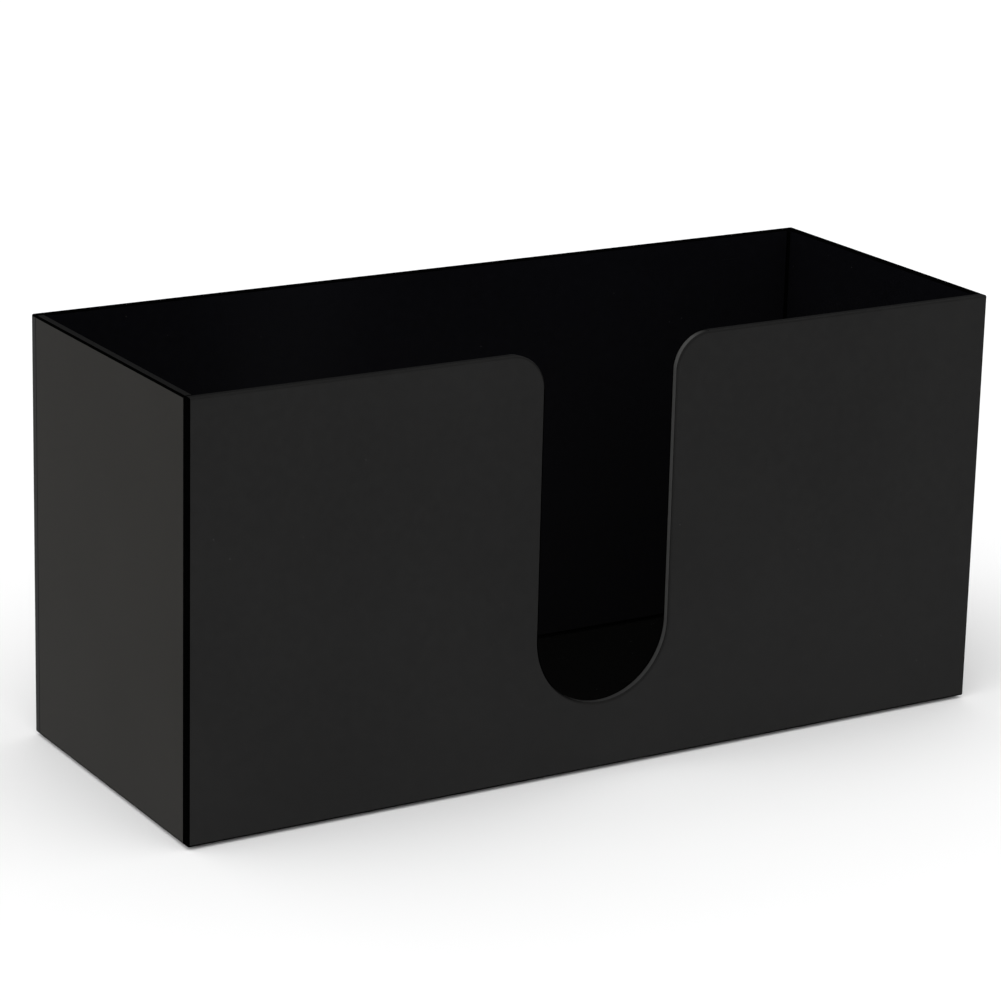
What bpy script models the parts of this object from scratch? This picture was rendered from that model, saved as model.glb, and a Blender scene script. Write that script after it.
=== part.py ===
"""Open-topped napkin dispenser: five acrylic sheets cemented into a box, on four bumper feet.

Axes: X runs along the box, -Y is the front with the finger slot, and +Z is up.
The origin lies under the middle of the box, on the surface that the feet stand on.
All sizes are in metres.
"""
import math

import bmesh
import bpy

# Overall size, outside, of the cemented sheets without the feet
LENGTH = 0.280
DEPTH = 0.107
BOX_HEIGHT = 0.134

# Sheet
SHEET = 0.003
CEMENT_GAP = 0.0003
OUTER_ARRIS = 0.0006
RIM_ARRIS = 0.0003

# Finger slot in the front sheet
SLOT_WIDTH = 0.0465
SLOT_SILL = 0.0212
SLOT_LIP_RADIUS = 0.0115

# Bumper feet
FOOT_DIAMETER = 0.010
FOOT_HEIGHT = 0.001
FOOT_ROUNDING = 0.0003
FOOT_DRAFT = 0.0002
FOOT_EDGE_DISTANCE = 0.013
FOOT_GAP = 0.0003

# Facets of the round stretches
SLOT_ARC_STEPS = 36
LIP_ARC_STEPS = 10
FOOT_STEPS = 40
ROUNDING_STEPS = 3

# Levels and faces that the pieces share
SHEET_BOTTOM = FOOT_HEIGHT
SHEET_TOP = SHEET_BOTTOM + BOX_HEIGHT
HALF_LENGTH = LENGTH / 2
HALF_DEPTH = DEPTH / 2
INNER_HALF_LENGTH = HALF_LENGTH - SHEET
INNER_HALF_DEPTH = HALF_DEPTH - SHEET

SMOOTH_ANGLE = math.radians(35)


def clear_scene():
    for old in list(bpy.data.objects):
        bpy.data.objects.remove(old, do_unlink=True)


def make_material(name, colour, roughness, coat=0.0):
    material = bpy.data.materials.new(name)
    material.use_nodes = True
    shader = material.node_tree.nodes["Principled BSDF"]
    shader.inputs["Base Color"].default_value = (*colour, 1.0)
    shader.inputs["Roughness"].default_value = roughness
    shader.inputs["Metallic"].default_value = 0.0
    shader.inputs["Coat Weight"].default_value = coat
    return material


def add_object(name, mesh_builder, location, material):
    """Turn a bmesh into a named object that stands at the given place."""
    bmesh.ops.recalc_face_normals(mesh_builder, faces=mesh_builder.faces)
    mesh = bpy.data.meshes.new(name)
    mesh_builder.to_mesh(mesh)
    mesh_builder.free()
    mesh.materials.append(material)
    mesh.shade_smooth()
    mesh.set_sharp_from_angle(angle=SMOOTH_ANGLE)
    piece = bpy.data.objects.new(name, mesh)
    piece.location = location
    bpy.context.scene.collection.objects.link(piece)
    return piece


def arc(centre, radius, start, end, steps):
    """Points along an arc in the plane of a sheet, from one angle to another, in degrees."""
    points = []
    for step in range(steps + 1):
        angle = math.radians(start + (end - start) * step / steps)
        points.append((centre[0] + radius * math.cos(angle), centre[1] + radius * math.sin(angle)))
    return points


def rectangle(width, height):
    """Outline of a plain sheet, centred across, standing on its lower edge."""
    half = width / 2
    return [(-half, 0.0), (half, 0.0), (half, height), (-half, height)]


def slotted_rectangle(width, height):
    """Outline of the front sheet: the slot is open at the top and round at the bottom."""
    slot_radius = SLOT_WIDTH / 2
    slot_centre_height = SLOT_SILL + slot_radius
    lip_centre_x = slot_radius + SLOT_LIP_RADIUS
    lip_centre_height = height - SLOT_LIP_RADIUS
    right_lip = arc((lip_centre_x, lip_centre_height), SLOT_LIP_RADIUS, 90, 180, LIP_ARC_STEPS)
    slot_bottom = arc((0.0, slot_centre_height), slot_radius, 0, -180, SLOT_ARC_STEPS)
    left_lip = arc((-lip_centre_x, lip_centre_height), SLOT_LIP_RADIUS, 0, 90, LIP_ARC_STEPS)
    bottom_left, bottom_right, top_right, top_left = rectangle(width, height)
    return [bottom_left, bottom_right, top_right, *right_lip, *slot_bottom, *left_lip, top_left]


def extrude_outline(outline, place):
    """Closed sheet from an outline: place(u, v, t) gives the point at depth t in the sheet."""
    builder = bmesh.new()
    layers = []
    for depth in (0.0, SHEET):
        layers.append([builder.verts.new(place(u, v, depth)) for u, v in outline])
    near, far = layers
    count = len(outline)
    builder.faces.new(near)
    builder.faces.new(reversed(far))
    for index in range(count):
        following = (index + 1) % count
        builder.faces.new((near[index], far[index], far[following], near[following]))
    bmesh.ops.recalc_face_normals(builder, faces=builder.faces)
    return builder


def break_edges(builder, wanted, width):
    """Chamfer the edges whose midpoint and direction the test accepts."""
    chosen = []
    for edge in builder.edges:
        start, end = (vertex.co for vertex in edge.verts)
        if wanted((start + end) / 2, (end - start).normalized()):
            chosen.append(edge)
    bmesh.ops.bevel(builder, geom=chosen, offset=width, offset_type="OFFSET", segments=1,
                    profile=0.5, affect="EDGES", clamp_overlap=True)


def near_to(value, target):
    return abs(value - target) < SHEET / 100


def make_long_panel(name, outline, side, material):
    """Front (side -1) or back (side 1) sheet, as long as the box, outer face at depth 0."""
    builder = extrude_outline(outline, lambda u, v, t: (u, -side * t, v))

    def outer_edge(middle, _direction):
        on_outer_face = near_to(middle.y, 0.0)
        across_end = near_to(abs(middle.x), HALF_LENGTH) and near_to(middle.y, -side * SHEET / 2)
        return on_outer_face or across_end and not near_to(middle.z, BOX_HEIGHT / 2)

    def rim_edge(middle, direction):
        on_inner_face = near_to(middle.y, -side * SHEET)
        at_bottom = near_to(middle.z, 0.0)
        up_the_end = near_to(abs(middle.x), HALF_LENGTH) and abs(direction.z) > 0.5
        return on_inner_face and not at_bottom and not up_the_end

    break_edges(builder, outer_edge, OUTER_ARRIS)
    break_edges(builder, rim_edge, RIM_ARRIS)
    return add_object(name, builder, (0.0, side * HALF_DEPTH, SHEET_BOTTOM), material)


def make_side_panel(name, side, material):
    """End sheet that stands between the front and the back sheet, outer face at depth 0."""
    width = 2 * (INNER_HALF_DEPTH - CEMENT_GAP)
    builder = extrude_outline(rectangle(width, BOX_HEIGHT), lambda u, v, t: (-side * t, u, v))

    def outer_edge(middle, direction):
        return near_to(middle.x, 0.0) and abs(direction.y) > 0.5

    def rim_edge(middle, direction):
        at_top = near_to(middle.z, BOX_HEIGHT)
        return near_to(middle.x, -side * SHEET) and at_top and abs(direction.y) > 0.5

    break_edges(builder, outer_edge, OUTER_ARRIS)
    break_edges(builder, rim_edge, RIM_ARRIS)
    return add_object(name, builder, (side * HALF_LENGTH, 0.0, SHEET_BOTTOM), material)


def make_bottom_panel(name, material):
    """Bottom sheet inside the four walls, flush with their lower edges."""
    half_x = INNER_HALF_LENGTH - CEMENT_GAP
    half_y = INNER_HALF_DEPTH - CEMENT_GAP
    outline = [(-half_x, -half_y), (half_x, -half_y), (half_x, half_y), (-half_x, half_y)]
    builder = extrude_outline(outline, lambda u, v, t: (u, v, t))
    return add_object(name, builder, (0.0, 0.0, SHEET_BOTTOM), material)


def foot_profile():
    """Half profile of a foot from the middle of its sole, round its rim, to its glued top."""
    top_radius = FOOT_DIAMETER / 2
    sole_radius = top_radius - FOOT_DRAFT
    top = FOOT_HEIGHT - FOOT_GAP
    rounding = min(FOOT_ROUNDING, top / 2)
    centre = (sole_radius - rounding, rounding)
    return [*arc(centre, rounding, -90, 0, ROUNDING_STEPS), (top_radius, top)]


def make_foot(name, x, y, material):
    """Round bumper: its sole is on the ground and its top is under the bottom sheet."""
    builder = bmesh.new()
    rings = []
    for radius, height in foot_profile():
        ring = []
        for step in range(FOOT_STEPS):
            angle = 2 * math.pi * step / FOOT_STEPS
            ring.append(builder.verts.new((radius * math.cos(angle), radius * math.sin(angle), height)))
        rings.append(ring)
    for lower, upper in zip(rings, rings[1:]):
        for step in range(FOOT_STEPS):
            following = (step + 1) % FOOT_STEPS
            builder.faces.new((lower[step], lower[following], upper[following], upper[step]))
    builder.faces.new(reversed(rings[0]))
    builder.faces.new(rings[-1])
    return add_object(name, builder, (x, y, 0.0), material)


def main():
    clear_scene()
    acrylic = make_material("black_acrylic", (0.006, 0.006, 0.006), 0.12, coat=0.2)
    silicone = make_material("clear_silicone", (0.55, 0.56, 0.55), 0.45)

    make_long_panel("front_panel", slotted_rectangle(LENGTH, BOX_HEIGHT), -1, acrylic)
    make_long_panel("back_panel", rectangle(LENGTH, BOX_HEIGHT), 1, acrylic)
    make_side_panel("left_side_panel", -1, acrylic)
    make_side_panel("right_side_panel", 1, acrylic)
    make_bottom_panel("bottom_panel", acrylic)

    foot_x = HALF_LENGTH - FOOT_EDGE_DISTANCE
    foot_y = HALF_DEPTH - FOOT_EDGE_DISTANCE
    for depth_word, y in (("front", -foot_y), ("back", foot_y)):
        for side_word, x in (("left", -foot_x), ("right", foot_x)):
            make_foot(f"foot_{depth_word}_{side_word}", x, y, silicone)


main()
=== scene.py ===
"""Looks of a black acrylic napkin dispenser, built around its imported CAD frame.

Five glossy sheets with polished edges, the cement that joins them and four silicone feet
replace the plain CAD solids. Everything is in metres, in the frame's own axes:
X along the box, -Y to the front with the finger slot, +Z up.
"""
import math

import bmesh
import bpy
from mathutils import Matrix, Vector


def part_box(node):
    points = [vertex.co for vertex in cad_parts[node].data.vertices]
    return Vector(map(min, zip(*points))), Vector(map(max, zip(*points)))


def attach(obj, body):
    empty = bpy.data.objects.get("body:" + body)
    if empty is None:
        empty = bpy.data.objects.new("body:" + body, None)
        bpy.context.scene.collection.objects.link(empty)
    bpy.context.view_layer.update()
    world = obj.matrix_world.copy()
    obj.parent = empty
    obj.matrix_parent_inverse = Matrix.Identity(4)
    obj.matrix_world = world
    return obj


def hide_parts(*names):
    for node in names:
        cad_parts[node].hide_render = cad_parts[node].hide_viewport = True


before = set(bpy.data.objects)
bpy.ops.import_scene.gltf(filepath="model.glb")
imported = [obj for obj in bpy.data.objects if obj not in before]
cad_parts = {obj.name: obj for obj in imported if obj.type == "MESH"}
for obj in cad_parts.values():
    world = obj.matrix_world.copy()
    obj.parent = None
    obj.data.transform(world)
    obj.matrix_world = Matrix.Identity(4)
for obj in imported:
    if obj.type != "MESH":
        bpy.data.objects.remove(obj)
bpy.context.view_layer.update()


def grey(level):
    return (level, level, level, 1.0)


# ---------------------------------------------------------------- sizes
front_low, front_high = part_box("front_panel")
back_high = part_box("back_panel")[1]
left_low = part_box("left_side_panel")[0]
floor_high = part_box("bottom_panel")[1]

SHEET = front_high.y - front_low.y
RIM = front_high.z
FOOTING = front_low.z
BOX_HEIGHT = RIM - FOOTING
HALF_LENGTH = front_high.x
HALF_DEPTH = back_high.y
INNER_HALF_LENGTH = HALF_LENGTH - SHEET
INNER_HALF_DEPTH = HALF_DEPTH - SHEET
CEMENT_GAP = left_low.y - front_high.y
TOLERANCE = SHEET / 100

# The slot's own sizes are those of the CAD sheet
SLOT_RADIUS = 0.0465 / 2
SLOT_SILL = 0.0212
SLOT_LIP_RADIUS = 0.0115
SLOT_ARC_STEPS = 96
LIP_ARC_STEPS = 32

OUTER_ARRIS = 0.0006
INNER_ARRIS = 0.0004
ARRIS_STEPS = 4

CEMENT_RECESS = 0.00012
CEMENT_FILLET = 0.0009
FILLET_STEPS = 5

# Feet: the rounding is a share of their height, and the dimple's width a share of their radius
FOOT_STEPS = 64
FOOT_ROUNDING = 0.4
FOOT_DRAFT = 0.0002
FOOT_LIP = 0.00015
ROUNDING_STEPS = 6
DIMPLE_SHARE = 0.45
DIMPLE_DEPTH = 0.00015
DIMPLE_STEPS = 6
FILM_BULGE = 0.00008

# Faces larger than this stay flat, so that no rounding beside them bends their shading
FLAT_AREA = 0.0001
SMOOTH_ANGLE = math.radians(40)

# ---------------------------------------------------------------- looks
# Material places on a sheet, in the order of SHEET_MATERIALS
FACE, INSIDE, FLOOR, EDGE, SHADED_EDGE, ARRIS, ROUTED, SLOT_ARRIS, END_FACE = range(9)

DEEP_BLACK = grey(0.0003)
FACE_DARK = (0.0077, 0.0076, 0.0075, 1.0)
FACE_PALE = (0.0107, 0.0106, 0.0104, 1.0)
# End-face tones: the face's acrylic with a warm tint, painted warm light on the end faces
END_DARK = (0.0077, 0.0067, 0.0048, 1.0)
END_PALE = (0.0107, 0.0096, 0.0074, 1.0)
# Inside and floor tones: the face's acrylic made darker, painted shade inside the box
INSIDE_DARK = (0.0028, 0.0028, 0.0036, 1.0)
INSIDE_PALE = (0.0040, 0.0040, 0.0052, 1.0)
FLOOR_DARK = grey(0.0014)
FLOOR_PALE = grey(0.0024)
# Rim tones: a darker copy of the acrylic with little gloss, painted shade on the front and left rims and
# the left lip
RIM_SHADE_DARK = grey(0.0025)
RIM_SHADE_PALE = grey(0.0038)
# Edge tones: near black, with no gloss, painted shade on the sheets' ends, the back and right rims and
# the bottoms
SHADED_EDGE_DARK = grey(0.0004)
SHADED_EDGE_PALE = grey(0.0008)
# Arris tones, from DEEP_BLACK up: near black with no gloss, painted shade along the rounded edges
ARRIS_PALE = grey(0.0006)
# Tones of the slot's matt cut edge; painted light runs it from the darker at the slot's bottom to the
# paler up the flanks
ROUTED_DARK = grey(0.025)
ROUTED_PALE = (0.054, 0.054, 0.053, 1.0)
# Colour of the dust specks, and of the painted light low inside the box
DUST_AND_FILL_LIGHT = (0.055, 0.053, 0.05, 1.0)
CEMENT_PALE = grey(0.0008)
SILICONE_DARK = (0.5, 0.51, 0.5, 1.0)
SILICONE_PALE = (0.66, 0.67, 0.65, 1.0)
FILM_DARK = (0.62, 0.62, 0.6, 1.0)
FILM_PALE = (0.74, 0.74, 0.72, 1.0)

ACRYLIC_IOR = 1.49
SILICONE_IOR = 1.41
ROUTED_GLOSS = 0.3
SLOT_ARRIS_GLOSS = 0.36
CEMENT_GLOSS = 0.03

# The stretches of a noise's values that are spread over a whole range
NOISE_SPREAD = (0.3, 0.7)
NOISE_CORE = (0.35, 0.65)

# Sizes of the noises, in cells per metre
WAVE_SCALE = 14.0
HAZE_SCALE = 420.0
SCUFF_PATCH_SCALE = 30.0
SPECK_SCALE = 420.0
SPECK_PATCH_SCALE = 95.0
ROUTED_GRAIN_SCALE = 2600.0
ARRIS_GRAIN_SCALE = 1400.0
WRINKLE_SCALE = 1100.0
CLOUD_SCALE = 260.0
PIMPLE_SCALE = 3200.0
FIBRE_SCALE = 1800.0

# Depths of the bumps
HAZE_DEPTH = 0.000002
CHATTER_DEPTH = 0.000006
WRINKLE_DEPTH = 0.00004
PIMPLE_DEPTH = 0.00001

# Turn in degrees and squeeze of each set of wiping scuffs, and of the router's chatter
WIPES = (((0, 0, 0), (26, 26, 1500)), ((20, 35, 50), (1300, 30, 30)), ((65, 10, 80), (30, 1700, 30)))
CHATTER = ((0, 0, 0), (700, 60, 700))

# Noise values between which a scuff, a patch of scuffs or a patch of dust grows from none to full
SCUFF_START = (0.66, 0.76)
SCUFF_PATCH_START = (0.5, 0.68)
SPECK_PATCH_START = (0.66, 0.7)
# Distances from a cell's middle between which a speck of dust ends
SPECK_END = (0.05, 0.11)
DUST_COVER = 0.5
DUST_ROUGHNESS = 0.4
# Shares of an acrylic's roughness where its haze is thinnest and thickest
HAZE_ROUGHNESS = (0.85, 1.15)

# Black band of painted shade along the rear of the slot's cut edge, and the stretch over which it fades
REAR_BAND = 0.0003
REAR_BLEND = 0.0002
# Parts of the cut edge's tone that come from painted light up the flanks and from the router's chatter
FLANK_LIGHT_SHARE = 0.8
CHATTER_SHARE = 0.2
# What is left of the cut edge's tone under painted shade where the right lip meets the rim
RIM_REMNANT = 0.05
# Places along X, in slot radii from the middle, between which the painted shade on the slot's arris ends
# and it turns pale
ARRIS_SHADE_ENDS = (-0.8, -0.3)
# Depths under the rim, in lip radii, between which the painted shade on the lips' arris ends and it
# turns pale
LIP_SHADE_ENDS = (1.0, 0.1)

# ---------------------------------------------------------------- stage and camera
GROUND_RADIUS = 5.0
GROUND_STEPS = 96
GROUND_PALE = grey(0.97)
GROUND_ROUGHNESS = 0.9
GROUND_IN_GLOSS = 0.21
WORLD_FILL = 0.73
WORLD_IN_GLOSS = 0.1
WORLD_SEEN = 1.0
SUN_STRENGTH = 1.5
SUN_SPREAD = math.radians(90)
SUN_HEADING = math.radians(-50)
SUN_ELEVATION = math.radians(55)

CAMERA_FROM_CENTRE = Vector((-0.5752, -0.9376, 0.3402))
CAMERA_HEADING = math.radians(31.25)
CAMERA_PITCH = math.radians(-15.46)
CAMERA_ROLL = math.radians(1.42)
LENS = 132.04
SENSOR_WIDTH = 36.0
SHIFT_UP = -0.0999


# ---------------------------------------------------------------- node helpers
class Graph:
    """Node tree of a material or world."""

    def __init__(self, tree):
        self.nodes = tree.nodes
        self.links = tree.links

    def fill(self, node, inputs):
        """Link or set a node's inputs: each value is another node's output or a plain value."""
        for key, value in inputs.items():
            if isinstance(value, bpy.types.NodeSocket):
                self.links.new(value, node.inputs[key])
            else:
                node.inputs[key].default_value = value

    def add(self, kind, inputs, output, **settings):
        """Make a node and return one of its outputs."""
        node = self.nodes.new(kind)
        for setting, value in settings.items():
            setattr(node, setting, value)
        self.fill(node, inputs)
        return node.outputs[output]


class Look(Graph):
    """Principled material on object coordinates, with a short call for each kind of node."""

    def __init__(self, name):
        self.material = bpy.data.materials.new(name)
        self.material.use_nodes = True
        super().__init__(self.material.node_tree)
        self.place = self.add("ShaderNodeTexCoord", {}, "Object")

    def axis(self, letter):
        return self.add("ShaderNodeSeparateXYZ", {"Vector": self.place}, letter)

    def noise(self, scale, detail=3.0, roughness=0.5, place=None):
        inputs = {"Scale": scale, "Detail": detail, "Roughness": roughness}
        inputs["Vector"] = self.place if place is None else place
        return self.add("ShaderNodeTexNoise", inputs, "Fac")

    def streaks(self, turn, squeeze, detail):
        """Noise on coordinates that are turned by some degrees and squeezed."""
        rotation = [math.radians(angle) for angle in turn]
        inputs = {"Vector": self.place, "Rotation": rotation, "Scale": squeeze}
        return self.noise(1.0, detail, place=self.add("ShaderNodeMapping", inputs, "Vector"))

    def remap(self, value, source, target=(0.0, 1.0)):
        inputs = {"Value": value, "From Min": source[0], "From Max": source[1]}
        inputs.update({"To Min": target[0], "To Max": target[1]})
        return self.add("ShaderNodeMapRange", inputs, "Result", clamp=True)

    def combine(self, operation, first, second):
        return self.add("ShaderNodeMath", {0: first, 1: second}, "Value", operation=operation)

    def mix(self, share, first, second):
        """Blend from the first colour to the second. A mix node has its colours at 6 and 7."""
        return self.add("ShaderNodeMix", {"Factor": share, 6: first, 7: second}, 2, data_type="RGBA")

    def bump(self, height, depth, under=None):
        inputs = {"Strength": 1.0, "Distance": depth, "Height": height}
        if under is not None:
            inputs["Normal"] = under
        return self.add("ShaderNodeBump", inputs, "Normal")

    def shade(self, inputs):
        """Fill the shader and return the finished material."""
        self.fill(self.nodes["Principled BSDF"], inputs)
        return self.material


# ---------------------------------------------------------------- materials
def wipe_marks(look):
    """Share of the wiping scuffs: fine streaks in three directions, in patches."""
    marks = None
    for turn, squeeze in WIPES:
        mark = look.remap(look.streaks(turn, squeeze, detail=2.0), SCUFF_START)
        marks = mark if marks is None else look.combine("MAXIMUM", marks, mark)
    patches = look.remap(look.noise(SCUFF_PATCH_SCALE), SCUFF_PATCH_START)
    return look.combine("MULTIPLY", marks, patches)


def dust_specks(look):
    """Share of the dust: the middles of small cells, in rare patches."""
    cells = {"Vector": look.place, "Scale": SPECK_SCALE}
    specks = look.remap(look.add("ShaderNodeTexVoronoi", cells, "Distance"), SPECK_END, (1.0, 0.0))
    patches = look.remap(look.noise(SPECK_PATCH_SCALE, detail=1.0), SPECK_PATCH_START)
    return look.combine("MULTIPLY", specks, patches)


def acrylic(name, dark, pale, gloss, roughness, scuffs, wave, low_fill_light=0.0):
    """Black cast acrylic: a slow wave in the sheet, a fine haze, wiping scuffs and a little dust.

    scuffs is what the scuffs add to the roughness, and wave is the wave's depth. The last argument
    is the share of painted light that makes the inside paler towards the bottom of the box; it fades
    towards the rim.
    """
    look = Look(name)
    cloud = look.noise(WAVE_SCALE, detail=2.0)
    haze = look.noise(HAZE_SCALE, detail=4.0, roughness=0.6)
    dust = dust_specks(look)

    halves = [look.remap(part, NOISE_CORE, (0.0, 0.5)) for part in (cloud, haze)]
    colour = look.mix(look.combine("ADD", *halves), dark, pale)
    # Painted light: the inside turns paler towards the bottom of the box, against the shade there
    film = look.remap(look.axis("Z"), (FOOTING, RIM), (low_fill_light, 0.0))
    dust_and_fill = look.combine("MAXIMUM", film, look.combine("MULTIPLY", dust, DUST_COVER))

    base = look.remap(haze, NOISE_SPREAD, [roughness * share for share in HAZE_ROUGHNESS])
    worn = look.combine("ADD", base, look.combine("MULTIPLY", wipe_marks(look), scuffs))
    rough = look.combine("ADD", worn, look.combine("MULTIPLY", dust, DUST_ROUGHNESS))
    return look.shade({
        "Base Color": look.mix(dust_and_fill, colour, DUST_AND_FILL_LIGHT),
        "Roughness": rough,
        "Normal": look.bump(haze, HAZE_DEPTH, under=look.bump(cloud, wave)),
        "IOR": ACRYLIC_IOR,
        "Specular IOR Level": gloss,
    })


def routed_edge(name):
    """Cut edge of the slot: satin, paler up the flanks with painted light, and black with painted shade
    at its rear and where the right lip meets the rim.
    """
    look = Look(name)
    slot_bottom = FOOTING + SLOT_SILL
    # Painted light: paler from the bottom of the slot up the flanks
    lit_up_flanks = look.remap(look.axis("Z"), (slot_bottom, slot_bottom + SLOT_RADIUS), (0.0, FLANK_LIGHT_SHARE))
    # Painted shade: black without gloss along the rear of the cut edge and where the right lip meets the
    # rim
    band = SHEET - INNER_ARRIS - HALF_DEPTH - REAR_BAND
    before_band = look.remap(look.axis("Y"), (band - REAR_BLEND, band), (1.0, 0.0))
    lip_end = SLOT_RADIUS + SLOT_LIP_RADIUS
    lip_fade = (lip_end - SLOT_LIP_RADIUS / 2, lip_end)
    before_rim = look.remap(look.axis("X"), lip_fade, (1.0, RIM_REMNANT))
    unshaded = look.combine("MULTIPLY", before_band, before_rim)

    chatter = look.streaks(*CHATTER, detail=3.0)
    tone = look.combine("ADD", lit_up_flanks, look.remap(chatter, NOISE_SPREAD, (0.0, CHATTER_SHARE)))
    return look.shade({
        "Base Color": look.mix(unshaded, DEEP_BLACK, look.mix(tone, ROUTED_DARK, ROUTED_PALE)),
        "Roughness": look.remap(look.noise(ROUTED_GRAIN_SCALE), NOISE_SPREAD, (0.35, 0.5)),
        "Normal": look.bump(chatter, CHATTER_DEPTH),
        "IOR": ACRYLIC_IOR,
        "Specular IOR Level": look.combine("MULTIPLY", unshaded, ROUTED_GLOSS),
    })


def slot_arris(name):
    """Scraped front arris of the slot: as pale as the face, but black with painted shade down the left
    flank.
    """
    look = Look(name)
    turn_x = [share * SLOT_RADIUS for share in ARRIS_SHADE_ENDS]
    turn_z = [RIM - share * SLOT_LIP_RADIUS for share in LIP_SHADE_ENDS]
    rightwards = look.remap(look.axis("X"), turn_x)
    upwards = look.remap(look.axis("Z"), turn_z)
    # Share outside the painted shade on the left flank's arris
    pale = look.combine("MAXIMUM", rightwards, upwards)
    grain = look.noise(ARRIS_GRAIN_SCALE)
    return look.shade({
        "Base Color": look.mix(pale, DEEP_BLACK, look.mix(grain, FACE_DARK, FACE_PALE)),
        "Roughness": look.remap(grain, NOISE_SPREAD, (0.15, 0.25)),
        "Normal": look.bump(grain, HAZE_DEPTH),
        "IOR": ACRYLIC_IOR,
        "Specular IOR Level": look.combine("MULTIPLY", pale, SLOT_ARRIS_GLOSS),
    })


def cement_material(name):
    """Dried solvent cement: black, glassy and slightly wrinkled where it was squeezed out."""
    look = Look(name)
    wrinkle = look.noise(WRINKLE_SCALE)
    return look.shade({
        "Base Color": look.mix(wrinkle, DEEP_BLACK, CEMENT_PALE),
        "Roughness": look.remap(wrinkle, NOISE_SPREAD, (0.1, 0.24)),
        "Normal": look.bump(wrinkle, WRINKLE_DEPTH),
        "Specular IOR Level": CEMENT_GLOSS,
    })


def silicone_material(name):
    """Cloudy silicone of the feet."""
    look = Look(name)
    cloud = look.noise(CLOUD_SCALE, detail=4.0)
    return look.shade({
        "Base Color": look.mix(cloud, SILICONE_DARK, SILICONE_PALE),
        "Roughness": look.remap(cloud, NOISE_SPREAD, (0.32, 0.5)),
        "Normal": look.bump(look.noise(PIMPLE_SCALE, detail=2.0), PIMPLE_DEPTH),
        "IOR": SILICONE_IOR,
        "Transmission Weight": 0.35,
        "Subsurface Weight": 0.15,
        "Subsurface Radius": (0.002, 0.002, 0.002),
    })


def film_material(name):
    """Double-sided tape between a foot and the sheet."""
    look = Look(name)
    fibre = look.noise(FIBRE_SCALE, detail=4.0)
    return look.shade({
        "Base Color": look.mix(fibre, FILM_DARK, FILM_PALE),
        "Roughness": look.remap(fibre, NOISE_SPREAD, (0.45, 0.65)),
    })


SHEET_MATERIALS = [
    acrylic("acrylic_face", FACE_DARK, FACE_PALE, gloss=0.5, roughness=0.1, scuffs=0.12, wave=0.0004),
    # Inside and floor: darker copies of the face's acrylic with less gloss, painted shade inside the box
    acrylic("acrylic_inside", INSIDE_DARK, INSIDE_PALE,
            gloss=0.05, roughness=0.22, scuffs=0.1, wave=0.0003, low_fill_light=0.07),
    acrylic("acrylic_floor", FLOOR_DARK, FLOOR_PALE,
            gloss=0.05, roughness=0.22, scuffs=0.1, wave=0.0003, low_fill_light=0.025),
    # Rims: painted shade, darker than the face and with little gloss
    acrylic("acrylic_rim_painted_shade", RIM_SHADE_DARK, RIM_SHADE_PALE,
            gloss=0.03, roughness=0.2, scuffs=0.1, wave=0.0001),
    # Near-black edges without gloss: painted shade
    acrylic("acrylic_edge_painted_black", SHADED_EDGE_DARK, SHADED_EDGE_PALE,
            gloss=0.0, roughness=0.3, scuffs=0.1, wave=0.0001),
    # Arrises: near black without gloss, painted shade
    acrylic("acrylic_arris", DEEP_BLACK, ARRIS_PALE,
            gloss=0.0, roughness=0.3, scuffs=0.05, wave=0.0001),
    routed_edge("acrylic_routed_edge"),
    slot_arris("acrylic_slot_arris"),
    # End faces: the face's acrylic with painted warm light
    acrylic("acrylic_end_face", END_DARK, END_PALE,
            gloss=0.5, roughness=0.1, scuffs=0.12, wave=0.0004),
]
CEMENT = cement_material("solvent_cement")
SILICONE = silicone_material("cloudy_silicone")
FILM = film_material("adhesive_film")


# ---------------------------------------------------------------- mesh helpers
def add_piece(name, builder, materials, replaced=()):
    """Turn a bmesh into a piece that rides on the object's one body."""
    bmesh.ops.recalc_face_normals(builder, faces=builder.faces)
    mesh = bpy.data.meshes.new(name)
    builder.to_mesh(mesh)
    builder.free()
    for material in materials:
        mesh.materials.append(material)
    mesh.shade_smooth()
    mesh.set_sharp_from_angle(angle=SMOOTH_ANGLE)
    for face in mesh.polygons:
        face.use_smooth = face.area < FLAT_AREA
    piece = bpy.data.objects.new(name, mesh)
    bpy.context.scene.collection.objects.link(piece)
    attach(piece, "root")
    if replaced:
        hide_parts(*replaced)


def arc(centre, radius, start, end, steps):
    """Points along an arc in a plane, from one angle to another, in degrees."""
    points = []
    for step in range(steps + 1):
        angle = math.radians(start + (end - start) * step / steps)
        points.append((centre[0] + radius * math.cos(angle), centre[1] + radius * math.sin(angle)))
    return points


def rectangle(half_width, height):
    return [(-half_width, 0.0), (half_width, 0.0), (half_width, height), (-half_width, height)]


def slotted_rectangle(half_width, height):
    """Front sheet's outline: the slot is open at the top, with round lips and a round bottom."""
    centre_height = SLOT_SILL + SLOT_RADIUS
    lip_x = SLOT_RADIUS + SLOT_LIP_RADIUS
    lip_height = height - SLOT_LIP_RADIUS
    bottom_left, bottom_right, top_right, top_left = rectangle(half_width, height)
    return [
        bottom_left, bottom_right, top_right,
        *arc((lip_x, lip_height), SLOT_LIP_RADIUS, 90, 180, LIP_ARC_STEPS),
        *arc((0.0, centre_height), SLOT_RADIUS, 0, -180, SLOT_ARC_STEPS),
        *arc((-lip_x, lip_height), SLOT_LIP_RADIUS, 0, 90, LIP_ARC_STEPS),
        top_left,
    ]


def bridge(builder, first, last):
    """Side faces between two loops of points."""
    sides = []
    count = len(first)
    for index in range(count):
        following = (index + 1) % count
        corners = (first[index], last[index], last[following], first[following])
        sides.append(builder.faces.new(corners))
    return sides


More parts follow.
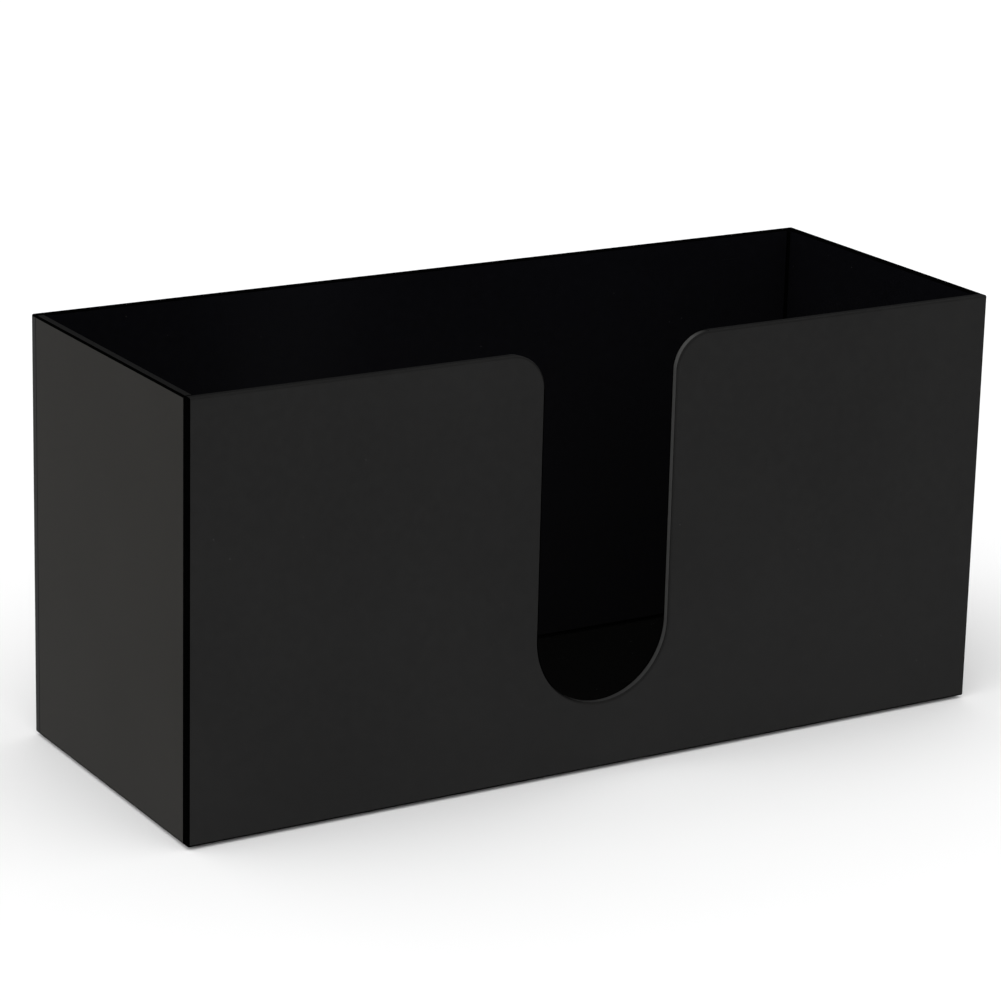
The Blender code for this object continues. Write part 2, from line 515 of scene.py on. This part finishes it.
def extrude_outline(outline, place):
    """Closed sheet from an outline: place(u, v, t) gives the point at depth t in the sheet."""
    builder = bmesh.new()
    near = [builder.verts.new(place(u, v, 0.0)) for u, v in outline]
    far = [builder.verts.new(place(u, v, SHEET)) for u, v in outline]
    builder.faces.new(near).material_index = FACE
    builder.faces.new(reversed(far)).material_index = INSIDE
    for side in bridge(builder, near, far):
        side.material_index = EDGE
    bmesh.ops.recalc_face_normals(builder, faces=builder.faces)
    return builder


def round_edges(builder, wanted, width):
    """Round the edges whose midpoint and direction the test accepts, and call them ARRIS."""
    chosen = []
    for edge in builder.edges:
        start, end = (vertex.co for vertex in edge.verts)
        if wanted((start + end) / 2, (end - start).normalized()):
            chosen.append(edge)
    bmesh.ops.bevel(builder, geom=chosen, offset=width, offset_type="OFFSET", segments=ARRIS_STEPS,
                    profile=0.5, affect="EDGES", clamp_overlap=False, material=ARRIS)


def lay_materials(builder, present, pick):
    """Give each face of the present material the one that pick chooses from its middle."""
    for face in builder.faces:
        if face.material_index == present:
            face.material_index = pick(face.calc_center_median())


def near_to(value, target):
    return abs(value - target) < TOLERANCE


def along(component):
    """True where a unit direction runs along this axis."""
    return abs(component) > 0.5


def on_rim(point):
    return near_to(point.z, RIM)


def in_slot(point):
    """True on the slot's outline, lips included, but not on the straight part of the rim."""
    return abs(point.x) < SLOT_RADIUS + SLOT_LIP_RADIUS - TOLERANCE and point.z > FOOTING + SHEET


# ---------------------------------------------------------------- sheets
def front_sheet(name, node):
    """Slotted sheet, as long as the box."""
    outline = slotted_rectangle(HALF_LENGTH, BOX_HEIGHT)
    builder = extrude_outline(outline, lambda u, v, t: (u, t - HALF_DEPTH, FOOTING + v))

    # Painted shade: the rim and the up-facing part of the left lip take the darker rim tones, not the
    # pale cut edge, and the sheet's ends and bottom the near-black edge
    def side_material(middle):
        if in_slot(middle):
            on_left_lip = middle.x < 0 and middle.z > RIM - SLOT_LIP_RADIUS
            return EDGE if on_left_lip else ROUTED
        return EDGE if on_rim(middle) else SHADED_EDGE

    def outer_edge(middle, direction):
        at_end = near_to(abs(middle.x), HALF_LENGTH) and along(direction.y)
        return at_end or near_to(middle.y, -HALF_DEPTH)

    def inner_edge(middle, direction):
        upright = near_to(abs(middle.x), HALF_LENGTH) and along(direction.z)
        return near_to(middle.y, SHEET - HALF_DEPTH) and not near_to(middle.z, FOOTING) and not upright

    # Painted shade: the inner, end and bottom arrises take the near-black arris; the top one takes the
    # face
    def arris_material(middle):
        if middle.y > OUTER_ARRIS - HALF_DEPTH or abs(middle.x) > HALF_LENGTH - OUTER_ARRIS:
            return ARRIS
        if in_slot(middle):
            return SLOT_ARRIS
        return FACE if middle.z > RIM - OUTER_ARRIS else ARRIS

    lay_materials(builder, EDGE, side_material)
    round_edges(builder, outer_edge, OUTER_ARRIS)
    round_edges(builder, inner_edge, INNER_ARRIS)
    lay_materials(builder, ARRIS, arris_material)
    add_piece(name, builder, SHEET_MATERIALS, (node,))


def back_sheet(name, node):
    """Plain sheet, as long as the box."""
    outline = rectangle(HALF_LENGTH, BOX_HEIGHT)
    builder = extrude_outline(outline, lambda u, v, t: (u, HALF_DEPTH - t, FOOTING + v))

    def outer_edge(middle, direction):
        at_end = near_to(abs(middle.x), HALF_LENGTH) and along(direction.y)
        return at_end or near_to(middle.y, HALF_DEPTH)

    def inner_edge(middle, _direction):
        return near_to(middle.y, HALF_DEPTH - SHEET) and on_rim(middle)

    def upright(middle):
        return abs(middle.z - FOOTING - BOX_HEIGHT / 2) < BOX_HEIGHT / 2 - 2 * OUTER_ARRIS

    # Painted shade: the back sheet's rim and bottom take the near-black edge and arris, its upright ends
    # the face
    lay_materials(builder, EDGE, lambda middle: FACE if upright(middle) else SHADED_EDGE)
    round_edges(builder, outer_edge, OUTER_ARRIS)
    round_edges(builder, inner_edge, INNER_ARRIS)
    lay_materials(builder, ARRIS, lambda middle: FACE if upright(middle) else ARRIS)
    add_piece(name, builder, SHEET_MATERIALS, (node,))


def end_sheet(name, node, side, rim_material):
    """End sheet that stands between the front and the back sheet."""
    low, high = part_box(node)
    face_x = side * HALF_LENGTH
    outline = rectangle((high.y - low.y) / 2, BOX_HEIGHT)
    builder = extrude_outline(outline, lambda u, v, t: (face_x - side * t, u, FOOTING + v))

    def outer_edge(middle, direction):
        return near_to(middle.x, face_x) and along(direction.y)

    def inner_edge(middle, direction):
        return near_to(middle.x, face_x - side * SHEET) and on_rim(middle) and along(direction.y)

    lay_materials(builder, FACE, lambda _middle: END_FACE)
    lay_materials(builder, EDGE, lambda middle: rim_material if on_rim(middle) else SHADED_EDGE)
    round_edges(builder, outer_edge, OUTER_ARRIS)
    round_edges(builder, inner_edge, INNER_ARRIS)
    add_piece(name, builder, SHEET_MATERIALS, (node,))


def floor_sheet(name, node):
    """Bottom sheet, inside the four walls."""
    low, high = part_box(node)
    outline = [(low.x, low.y), (high.x, low.y), (high.x, high.y), (low.x, high.y)]
    builder = extrude_outline(outline, lambda u, v, t: (u, v, low.z + t))
    lay_materials(builder, INSIDE, lambda _middle: FLOOR)
    add_piece(name, builder, SHEET_MATERIALS, (node,))


# ---------------------------------------------------------------- cement
def cement_profile(reach):
    """Section of a joint: a tongue that fills the gap and a hollow fillet in the inner corner.

    The inner corner of the joint is at (0, 0). The wall runs up the second axis, the sheet that
    butts against it lies beyond the gap along the first axis, and both are inside the corner.
    """
    fillet = arc((CEMENT_FILLET, CEMENT_FILLET), CEMENT_FILLET, 180, 270, FILLET_STEPS)
    return [(0.0, -reach), *fillet, (CEMENT_GAP, 0.0), (CEMENT_GAP, -reach)]


def cement_joint(name, corner, wall_out, butt_out, along_joint, start, end):
    """Extrude a joint's section.

    corner is a point on the line where the wall's face meets the gap. wall_out is the wall's normal
    into the box, butt_out is the butting sheet's normal into the box, and along_joint is the run.
    """
    builder = bmesh.new()
    ends = []
    for distance in (start, end):
        ring = []
        for u, v in cement_profile(SHEET - CEMENT_RECESS):
            ring.append(builder.verts.new(corner + wall_out * u + butt_out * v + along_joint * distance))
        ends.append(ring)
    first, last = ends
    builder.faces.new(first)
    builder.faces.new(reversed(last))
    bridge(builder, first, last)
    add_piece(name, builder, [CEMENT])


def add_cement():
    """Four upright joints in the corners, and four along the floor."""
    x_axis, y_axis, z_axis = Matrix.Identity(3)
    floor_top = floor_high.z
    joint_top = RIM - CEMENT_RECESS - INNER_ARRIS
    floor_half_x = INNER_HALF_LENGTH - CEMENT_GAP
    floor_half_y = INNER_HALF_DEPTH - CEMENT_GAP
    for y_side, y_word in ((-1, "front"), (1, "back")):
        for x_side, x_word in ((-1, "left"), (1, "right")):
            corner = Vector((x_side * INNER_HALF_LENGTH, y_side * INNER_HALF_DEPTH, 0.0))
            cement_joint(f"cement_{y_word}_{x_word}", corner, y_axis * -y_side, x_axis * -x_side,
                         z_axis, FOOTING + CEMENT_RECESS, joint_top)
        corner = Vector((0.0, y_side * INNER_HALF_DEPTH, floor_top))
        cement_joint(f"cement_floor_{y_word}", corner, y_axis * -y_side, z_axis,
                     x_axis, -floor_half_x, floor_half_x)
    for x_side, x_word in ((-1, "left"), (1, "right")):
        corner = Vector((x_side * INNER_HALF_LENGTH, 0.0, floor_top))
        cement_joint(f"cement_floor_{x_word}", corner, x_axis * -x_side, z_axis,
                     y_axis, -floor_half_y, floor_half_y)


# ---------------------------------------------------------------- feet
def turned(name, profile, centre, material, replaced=()):
    """Closed solid turned about an upright axis from a profile that starts and ends on the axis."""
    builder = bmesh.new()
    bottom = builder.verts.new((centre.x, centre.y, profile[0][1]))
    top = builder.verts.new((centre.x, centre.y, profile[-1][1]))
    rings = []
    for radius, height in profile[1:-1]:
        ring = []
        for step in range(FOOT_STEPS):
            angle = 2 * math.pi * step / FOOT_STEPS
            x = centre.x + radius * math.cos(angle)
            y = centre.y + radius * math.sin(angle)
            ring.append(builder.verts.new((x, y, height)))
        rings.append(ring)
    for step in range(FOOT_STEPS):
        following = (step + 1) % FOOT_STEPS
        builder.faces.new((bottom, rings[0][following], rings[0][step]))
        builder.faces.new((top, rings[-1][step], rings[-1][following]))
        for lower, upper in zip(rings, rings[1:]):
            builder.faces.new((lower[step], lower[following], upper[following], upper[step]))
    add_piece(name, builder, [material], replaced)


def foot_profile(radius, low, high):
    """Half section of a foot: dimpled sole, rounded and drafted side, softened top."""
    rounding = FOOT_ROUNDING * (high - low)
    dimple = []
    for step in range(DIMPLE_STEPS + 1):
        share = step / DIMPLE_STEPS
        depth = DIMPLE_DEPTH * math.cos(math.pi / 2 * share) ** 2
        dimple.append((DIMPLE_SHARE * radius * share, low + depth))
    sole_centre = (radius - FOOT_DRAFT - rounding, low + rounding)
    side_foot = arc(sole_centre, rounding, -90, 0, ROUNDING_STEPS)
    side_top = arc((radius - FOOT_LIP, high - FOOT_LIP), FOOT_LIP, 0, 90, ROUNDING_STEPS)
    return [*dimple, *side_foot, *side_top, (0.0, high)]


def film_profile(radius, low, high):
    """Half section of the film over a foot, slightly squeezed out half way up."""
    bulge = (radius + FILM_BULGE, (low + high) / 2)
    return [(0.0, low), (radius, low), bulge, (radius, high), (0.0, high)]


def add_foot(node):
    """Silicone bumper on its adhesive film."""
    low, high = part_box(node)
    centre = (low + high) / 2
    radius = (high.x - low.x) / 2
    foot = foot_profile(radius, low.z, high.z)
    turned(node.replace("foot", "bumper"), foot, centre, SILICONE, (node,))
    film = film_profile(radius - FOOT_LIP, high.z, FOOTING)
    turned(node.replace("foot", "adhesive"), film, centre, FILM)


# ---------------------------------------------------------------- stage
def ground_material():
    """Pale to the eye and to matt surfaces, and an even grey in the gloss."""
    material = bpy.data.materials.new("pale_ground")
    material.use_nodes = True
    graph = Graph(material.node_tree)
    seen = graph.nodes["Principled BSDF"]
    seen_inputs = {"Base Color": GROUND_PALE, "Roughness": GROUND_ROUGHNESS, "Specular IOR Level": 0.0}
    graph.fill(seen, seen_inputs)
    mirrored = graph.add("ShaderNodeEmission", {"Strength": GROUND_IN_GLOSS}, "Emission")
    in_gloss = graph.add("ShaderNodeLightPath", {}, "Is Glossy Ray")
    choice = {"Fac": in_gloss, 1: seen.outputs["BSDF"], 2: mirrored}
    surface = graph.add("ShaderNodeMixShader", choice, "Shader")
    graph.fill(graph.nodes["Material Output"], {"Surface": surface})
    return material


def add_ground():
    """Plain ground that runs far past the view."""
    builder = bmesh.new()
    bmesh.ops.create_circle(builder, cap_ends=True, radius=GROUND_RADIUS, segments=GROUND_STEPS)
    mesh = bpy.data.meshes.new("ground")
    builder.to_mesh(mesh)
    builder.free()
    mesh.materials.append(ground_material())
    ground = bpy.data.objects.new("ground", mesh)
    bpy.context.scene.collection.objects.link(ground)


def add_sun():
    """One very soft key light from the front left, kept out of the gloss."""
    light = bpy.data.lights.new("key", "SUN")
    light.energy = SUN_STRENGTH
    light.angle = SUN_SPREAD
    lamp = bpy.data.objects.new("key", light)
    level = math.cos(SUN_ELEVATION)
    towards = Vector((math.sin(SUN_HEADING) * level, -math.cos(SUN_HEADING) * level,
                      math.sin(SUN_ELEVATION)))
    lamp.rotation_mode = "QUATERNION"
    lamp.rotation_quaternion = towards.to_track_quat("Z", "Y")
    lamp.visible_glossy = False
    bpy.context.scene.collection.objects.link(lamp)


def add_world():
    """Even studio: pale to the eye, a soft fill for matt surfaces, and dim in the gloss."""
    world = bpy.data.worlds.new("studio")
    world.use_nodes = True
    bpy.context.scene.world = world
    graph = Graph(world.node_tree)
    graph.nodes.clear()
    surface = graph.add("ShaderNodeBackground", {"Color": grey(WORLD_FILL)}, "Background")
    for kind, level in (("Is Glossy Ray", WORLD_IN_GLOSS), ("Is Camera Ray", WORLD_SEEN)):
        shade = graph.add("ShaderNodeBackground", {"Color": grey(level)}, "Background")
        ray = graph.add("ShaderNodeLightPath", {}, kind)
        surface = graph.add("ShaderNodeMixShader", {"Fac": ray, 1: surface, 2: shade}, "Shader")
    graph.fill(graph.nodes.new("ShaderNodeOutputWorld"), {"Surface": surface})


def add_camera():
    """Camera at the photograph's angle, aimed from the middle of the box."""
    data = bpy.data.cameras.new("camera")
    data.sensor_width = SENSOR_WIDTH
    data.lens = LENS
    data.shift_y = SHIFT_UP
    camera = bpy.data.objects.new("camera", data)
    box_centre = Vector((0.0, 0.0, FOOTING + BOX_HEIGHT / 2))
    turn = Matrix.Rotation(-CAMERA_HEADING, 4, "Z")
    tilt = Matrix.Rotation(math.pi / 2 + CAMERA_PITCH, 4, "X")
    roll = Matrix.Rotation(CAMERA_ROLL, 4, "Z")
    camera.matrix_world = Matrix.Translation(box_centre + CAMERA_FROM_CENTRE) @ turn @ tilt @ roll
    bpy.context.scene.collection.objects.link(camera)
    bpy.context.scene.camera = camera


# ---------------------------------------------------------------- the whole
front_sheet("front_sheet", "front_panel")
back_sheet("back_sheet", "back_panel")
# Painted shade: the right rim takes the near-black edge, the left rim the darker rim tones
end_sheet("left_end_sheet", "left_side_panel", -1, EDGE)
end_sheet("right_end_sheet", "right_side_panel", 1, SHADED_EDGE)
floor_sheet("floor_sheet", "bottom_panel")
add_cement()
for foot_node in [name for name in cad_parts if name.startswith("foot_")]:
    add_foot(foot_node)
add_ground()
add_sun()
add_world()
add_camera()
bpy.context.scene.view_settings.view_transform = "Standard"
